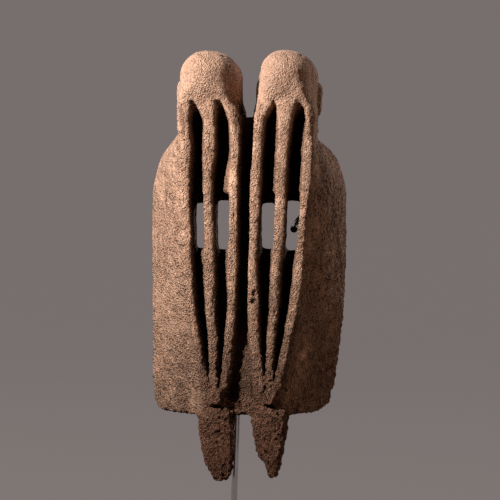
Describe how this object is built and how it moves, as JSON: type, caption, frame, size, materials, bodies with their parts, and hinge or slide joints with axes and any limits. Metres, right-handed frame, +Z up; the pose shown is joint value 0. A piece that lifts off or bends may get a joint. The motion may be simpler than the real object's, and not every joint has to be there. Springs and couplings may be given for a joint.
{
  "type": "carved double-headed monkey mask on a rod stand",
  "caption": "Carved wooden double monkey mask with domed heads, upright ridges, deep grooves, eye slots and pointed tongues, hollow behind, held up on a thin steel rod with a flat plate foot.",
  "frame": {"origin": "middle of the base plate's underside", "axes": "+Z up, the faces look along -Y, +X to the viewer's right"},
  "size_m": [0.2009, 0.13, 0.4996],
  "materials": {
    "crusted_wood": "matt, with a rough dry earth crust",
    "polished_steel": "polished",
    "black_rubber": "matt",
    "black_paint": "satin"
  },
  "bodies": {
    "root": {"mask": "crusted_wood", "support_rod": "polished_steel", "prong_sleeve": "black_rubber", "top_cap": "black_rubber", "base_plate": "black_paint"}
  },
  "joints": []
}
